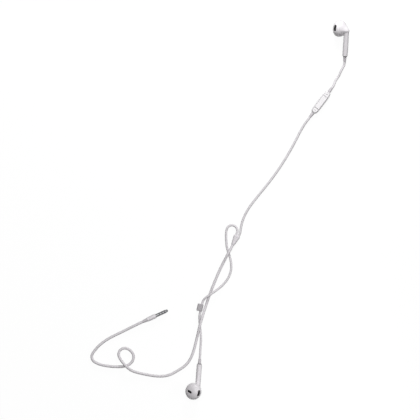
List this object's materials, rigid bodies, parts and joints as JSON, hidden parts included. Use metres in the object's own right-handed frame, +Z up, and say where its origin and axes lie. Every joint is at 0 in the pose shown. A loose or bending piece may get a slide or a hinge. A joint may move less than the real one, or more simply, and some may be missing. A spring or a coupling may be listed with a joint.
{
  "type": "wired earphones",
  "caption": "Wired in-ear earphones with stemmed earbuds, three-button inline remote, Y splitter, cord slider and a straight 3.5 mm four-contact plug.",
  "frame": {"origin": "middle of the footprint of the two earbuds, on the surface that everything lies on", "axes": "+Y from the left earbud towards the right earbud, the longest way; +X to the right of it, +Z up"},
  "size_m": [0.2715, 0.3982, 0.0172],
  "materials": {
    "shell": "glossy moulded white plastic",
    "button": "satin moulded white plastic",
    "relief": "soft white elastomer",
    "slider": "satin moulded light grey plastic",
    "cord": "smooth white elastomer jacket",
    "mesh": "black woven mesh",
    "dark_plastic": "matte black plastic",
    "contact": "polished nickel plate",
    "insulator": "white insulating plastic",
    "magnet": "nickel-plated magnet and steel",
    "copper": "lacquered copper wire",
    "film": "thin moulded film",
    "board": "green solder resist"
  },
  "bodies": {
    "root": {"right_front_shell": "shell", "right_rear_shell": "shell", "right_nozzle_mesh": "mesh", "right_face_vent_mesh": "mesh", "right_driver_gasket": "dark_plastic", "right_driver_frame": "dark_plastic", "right_diaphragm": "film", "right_voice_coil": "copper", "right_driver_yoke": "magnet", "right_magnet": "magnet", "right_pole_plate": "magnet", "right_terminal_board": "board", "right_hookup_wires": "copper", "right_cable_anchor": "magnet", "right_stem_end_plug": "mesh", "right_strain_relief": "relief", "left_front_shell": "shell", "left_rear_shell": "shell", "left_nozzle_mesh": "mesh", "left_face_vent_mesh": "mesh", "left_driver_gasket": "dark_plastic", "left_driver_frame": "dark_plastic", "left_diaphragm": "film", "left_voice_coil": "copper", "left_driver_yoke": "magnet", "left_magnet": "magnet", "left_pole_plate": "magnet", "left_terminal_board": "board", "left_hookup_wires": "copper", "left_cable_anchor": "magnet", "left_stem_end_plug": "mesh", "left_strain_relief": "relief", "remote_back_cover": "shell", "remote_front_cover": "shell", "remote_circuit_board": "board", "remote_dome_switches": "contact", "remote_microphone": "contact", "remote_microphone_mesh": "mesh", "remote_upper_strain_relief": "relief", "remote_lower_strain_relief": "relief", "splitter_front_half": "shell", "splitter_back_half": "shell", "splitter_crimp": "contact", "plug_tip": "contact", "plug_ring_1": "contact", "plug_ring_2": "contact", "plug_sleeve": "contact", "plug_insulators": "insulator", "plug_centre_pin": "contact", "plug_handle": "shell", "plug_strain_relief": "relief", "main_cord": "cord", "left_cord": "cord", "right_lower_cord": "cord", "right_upper_cord": "cord"},
    "plus_key": {"plus_button": "button"},
    "centre_key": {"centre_button": "button"},
    "minus_key": {"minus_button": "button"},
    "slider": {"cord_slider": "slider"}
  },
  "joints": [
    {"name": "plus_press", "type": "slide", "parent": "root", "child": "plus_key", "axis": [0, 0, -1], "range_m": [0, 0.0003], "stiffness_N_per_m": 2000},
    {"name": "centre_press", "type": "slide", "parent": "root", "child": "centre_key", "axis": [0, 0, -1], "range_m": [0, 0.0003], "stiffness_N_per_m": 2000},
    {"name": "minus_press", "type": "slide", "parent": "root", "child": "minus_key", "axis": [0, 0, -1], "range_m": [0, 0.0003], "stiffness_N_per_m": 2000},
    {"name": "slider_travel", "type": "slide", "parent": "root", "child": "slider", "axis": [-0.2147, -0.9767, 0], "range_m": [0, 0.0025]}
  ]
}
